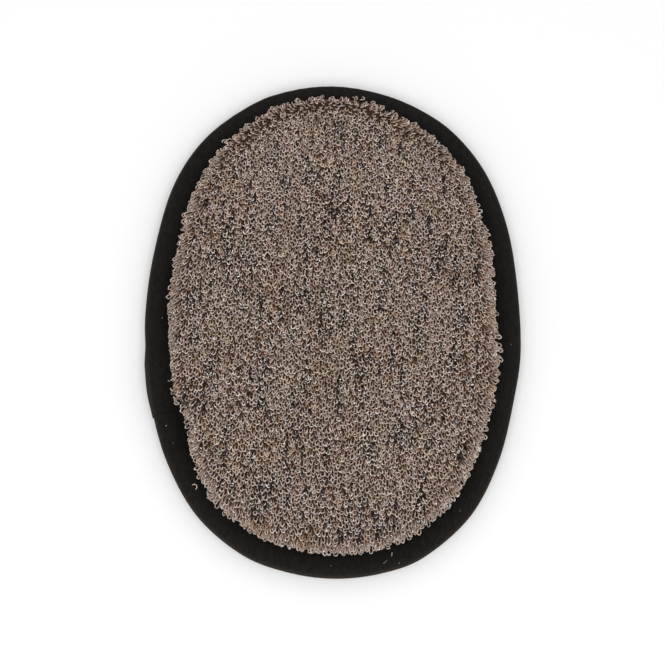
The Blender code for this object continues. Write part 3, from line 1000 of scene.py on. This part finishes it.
# Hand strap: ribbed elastic, in two halves so that each end follows the pad
strapForm = {
    "endMargin": 0.0014,
    "ribs": 30,
    "ribDepth": 0.00010,
    "ribSteps": 6,
    "pickPitch": 0.0008,
    "stations": 70,
    "bendStart": 0.005,
    "bendMargin": 0.008,
}


def elasticFinish():
    finish = Finish("black_elastic", Sheen_Weight=0.15, Sheen_Roughness=0.5)
    along, across = finish.axes(finish.place)
    rib = (across * (math.tau * strapForm["ribs"] / strapWidth)).wave()
    pick = (along * (math.tau / strapForm["pickPitch"]) + rib * math.pi).wave()
    mottle = finish.noise(180.0, detail=3.0)
    colour = finish.mix(rib * (0.5 + 0.5 * pick), tint(16, 16, 16), tint(44, 42, 41))
    colour = finish.mix(mottle * 0.35, colour, tint(56, 52, 49))
    return finish.wear(colour, pick * rib, 0.00008, 0.62 + 0.2 * mottle)


def sideReach(line, side, y):
    # where a line round the pad is at y, on its right (1) or left (-1)
    half = line[line[:, 0] * side > 0]
    half = half[np.argsort(half[:, 1])]
    return np.interp(y, half[:, 1], half[:, 0])


def strapHalf(name, side, finish):
    readings = np.linspace(0, padEdge.length, padForm["edgeReadings"])
    ends = padEdge.places(readings, strapForm["endMargin"])
    strips = strapForm["ribs"] * strapForm["ribSteps"]
    across = np.linspace(-strapWidth / 2, strapWidth / 2, strips + 1)
    reach = sideReach(ends, side, across)
    shares = np.linspace(0, 1, strapForm["stations"])
    x = shares[:, None] * reach
    y = np.broadcast_to(across, x.shape)
    bottom = backHeight(x, y, backMiddle, backRim) - strapDrop
    ribShare = np.arange(len(across)) / strapForm["ribSteps"]
    groove = strapForm["ribDepth"] * (0.5 + 0.5 * np.cos(math.tau * ribShare))
    low = np.stack([x, y, bottom + groove], axis=-1)
    high = np.stack([x, y, bottom + strapThickness - groove], axis=-1)
    points = np.concatenate([low.reshape(-1, 3), high.reshape(-1, 3)])
    size = x.size
    under = gridFaces(*x.shape)
    number = np.arange(size).reshape(x.shape)
    border = np.concatenate([number[0, :-1], number[:-1, -1], number[-1, :0:-1], number[:0:-1, 0]])
    after = np.roll(border, -1)
    wall = np.stack([border, after, size + after, size + border], axis=1)
    faces = [under, size + under[:, ::-1], wall[:, ::-1]]
    if side < 0:
        faces = [group[:, ::-1] for group in faces]
    piece = buildPiece(name, points, faces, finish, body=None)
    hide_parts("hand_strap")
    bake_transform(piece)


elastic = elasticFinish()
strapHalf("strap_right_half", 1, elastic)
strapHalf("strap_left_half", -1, elastic)
print("strap made")


# Thread: the seam through the binding, seen on both faces, and bar tacks on the strap's ends
seamForm = {
    "threadRadius": 0.00013,
    "plies": 3,
    "plyPitch": 0.0006,
    "gapShare": 0.14,
    "dip": 0.00016,
    "rise": 0.00009,
    "steps": 7,
    "tackStitches": 13,
    "tackLength": 0.0016,
    "tackPitch": 0.00042,
    "tackPlaces": (-0.0135, 0.0135),
}


def threadFinish():
    finish = Finish("black_thread", Specular_IOR_Level=0.15)
    around, along = finish.mapped("yarn")
    twist = along * (math.tau / seamForm["plyPitch"])
    ply = (around * seamForm["plies"] * math.tau + twist).wave()
    fibre = finish.noise(2200.0)
    colour = finish.mix(ply, tint(12, 11, 10), tint(34, 32, 30))
    colour = finish.mix(fibre * 0.4, colour, tint(24, 22, 21))
    return finish.wear(colour, ply, 0.00003, 0.6 + 0.2 * fibre)


def frontSeamLevel(distance):
    top = frontLipBottom + lipThickness + lapGrowth * tapeLapped(distance)
    return top + tapeRelief(distance, tapeForm["seamInset"])


def backSeamLevel(distance):
    y = padEdge.places(tapeStart + distance, 0)[:, 1]
    bottom = backLipTop - lipThickness
    return bottom - strapDrop * tapeDropped(y) - lapGrowth * tapeLapped(distance)


def threadPiece(name, centres, upward, slotName):
    laidYarn(name, centres, upward, seamForm["threadRadius"], thread, slotName, sides=6)


def threadLift(arch):
    return -seamForm["dip"] + (seamForm["dip"] + seamForm["rise"]) * arch


def seamStitches(name, level, upward):
    pitch = tapeForm["stitchPitch"]
    firsts = np.arange(0, tapeTravel - pitch, pitch)
    shares = np.linspace(0, 1, seamForm["steps"])
    distance = (firsts[:, None] + (1 - seamForm["gapShare"]) * pitch * shares).ravel()
    lift = threadLift(np.sin(math.pi * shares) ** 0.5)
    wider = sewnIn(*padEdge.places(tapeStart + distance, 0).T) * (upward > 0)
    flat = padEdge.places(tapeStart + distance, (tapeForm["seamInset"] + wider)[:, None])
    height = level(distance) + upward * np.tile(lift, len(firsts))
    if upward > 0:
        height += swollen(flat)
    centres = np.column_stack([flat, height]).reshape(len(firsts), len(shares), 3)
    threadPiece(name, centres, upward, "binding")


def barTacks(name):
    # short stitches side by side across the seam, where the strap's ends are caught
    shares = np.linspace(0, 1, seamForm["steps"])
    across = (shares - 0.5) * seamForm["tackLength"]
    level = backLipTop - lipThickness - strapDrop - threadLift(np.sin(math.pi * shares))
    centres = []
    for side in (1, -1):
        for middleY in seamForm["tackPlaces"]:
            for k in range(seamForm["tackStitches"]):
                y = middleY + (k - seamForm["tackStitches"] / 2) * seamForm["tackPitch"]
                x = sideReach(padEdge.curve, side, y) - side * tapeForm["seamInset"] + across
                slanted = y + shares * seamForm["tackPitch"] / 2
                centres.append(np.column_stack([x, slanted, level]))
    threadPiece(name, np.array(centres), -1.0, "strap_webbing")


thread = threadFinish()
seamStitches("front_seam_stitches", frontSeamLevel, 1.0)
seamStitches("back_seam_stitches", backSeamLevel, -1.0)
barTacks("strap_bar_tacks")
print("thread made")


# Bits of loose yarn and lint that lie on the tape
lintForm = {
    "steps": 14,
    "lift": 0.00012,
    "shade": 0.6,
    # x, y, length and radius in mm; heading and bend in degrees
    "looseYarn": [
        (-45.4, -55.2, 3.3, 0.15, -45, -205),
        (19.0, -77.2, 1.3, 0.10, 82, 20),
    ],
    "lint": [
        (-55.4, -35.2, 0.5, 0.09, 30, 60),
        (-57.5, 1.3, 0.5, 0.08, 70, 40),
        (-56.2, -12.6, 1.5, 0.05, 3, 25),
        (-53.0, -41.0, 0.7, 0.04, 120, 50),
        (16.7, -79.8, 1.9, 0.05, 40, 20),
        (21.3, -80.1, 0.5, 0.08, 100, 50),
        (-0.9, -81.0, 0.4, 0.07, 15, 30),
        (59.8, -7.0, 0.5, 0.07, 80, 40),
        (41.5, -63.0, 1.1, 0.04, 75, 90),
    ],
}


def makeLint(name, bits, finish):
    x, y, length, thick, heading, bend = np.array(bits).T[..., None]
    shares = np.linspace(0, 1, lintForm["steps"])
    turns = np.radians(heading + bend * (shares - 0.5))
    stride = length / 1000 / lintForm["steps"]
    path = np.cumsum(np.stack([np.cos(turns) * stride, np.sin(turns) * stride], axis=-1), axis=1)
    path += np.stack([x, y], axis=-1) / 1000 - path.mean(1, keepdims=True)
    level = frontLipBottom + lipThickness + swollen(path) + thick / 1000
    level += lintForm["lift"] * np.sin(math.pi * shares)
    centres = np.concatenate([path, level[..., None]], axis=-1)
    marks = {"shade": np.full(level.shape, lintForm["shade"]), "rise": np.ones(level.shape)}
    laidYarn(name, centres, 1.0, thick / 1000, finish, "sisal_loops", marks=marks)


makeLint("loose_yarn_ends", lintForm["looseYarn"], yarnFinishes["beige"])
makeLint("lint_specks", lintForm["lint"], yarnFinishes["ash"])
print("lint laid")


# Floor and light
stageForm = {
    "floorSize": 1.6,
    "floorLevel": -0.0002,
    "fade": (0.20, 0.45),  # metres from the middle, where the camera sees the floor go plain white
    "keyPower": 6.2,
    "keySize": 0.85,
    "keyPlace": (-0.02, -0.37, 1.05),
    "worldStrength": 0.64,
}
plainWhite = (1.0, 1.0, 1.0, 1.0)


def makeFloor():
    half = stageForm["floorSize"] / 2
    level = stageForm["floorLevel"]
    mesh = bpy.data.meshes.new("floor")
    signs = [(-1, -1), (1, -1), (1, 1), (-1, 1)]
    mesh.from_pydata([(x * half, y * half, level) for x, y in signs], [], [(0, 1, 2, 3)])
    finish = Finish("white_floor", Roughness=0.9, Base_Color=plainWhite)
    seen = finish.node("ShaderNodeLightPath", {}, {}, "Is Camera Ray")
    settings = {"operation": "LENGTH"}
    away = finish.node("ShaderNodeVectorMath", settings, {0: finish.place}, "Value")
    white = finish.node("ShaderNodeEmission", {}, {"Color": plainWhite, "Strength": 1.0})
    lit = Wire(finish, finish.shader.outputs[0])
    sockets = {0: seen * away.between(*stageForm["fade"]), 1: lit, 2: white}
    surface = finish.node("ShaderNodeMixShader", {}, sockets)
    finish.join(surface, finish.tree.nodes["Material Output"].inputs["Surface"])
    mesh.materials.append(finish.material)
    placed("floor", mesh)


def makeLights():
    world = bpy.data.worlds.new("studio")
    bpy.context.scene.world = world
    world.use_nodes = True
    tree = world.node_tree
    # the camera sees plain white beyond the floor
    glow, seen = tree.nodes["Background"], tree.nodes.new("ShaderNodeBackground")
    for node, strength in ((glow, stageForm["worldStrength"]), (seen, 1.0)):
        node.inputs["Color"].default_value = plainWhite
        node.inputs["Strength"].default_value = strength
    path = tree.nodes.new("ShaderNodeLightPath")
    either = tree.nodes.new("ShaderNodeMixShader")
    outputs = (path.outputs["Is Camera Ray"], glow.outputs[0], seen.outputs[0])
    for output, socket in zip(outputs, either.inputs):
        tree.links.new(output, socket)
    tree.links.new(either.outputs[0], tree.nodes["World Output"].inputs["Surface"])
    data = bpy.data.lights.new("key_light", "AREA")
    data.size = stageForm["keySize"]
    data.energy = stageForm["keyPower"]
    lamp = placed("key_light", data)
    lamp.location = stageForm["keyPlace"]
    lamp.rotation_euler = (-lamp.location).to_track_quat("-Z", "Y").to_euler()


makeFloor()
makeLights()
bpy.context.scene.view_settings.view_transform = "Standard"
print("stage made")
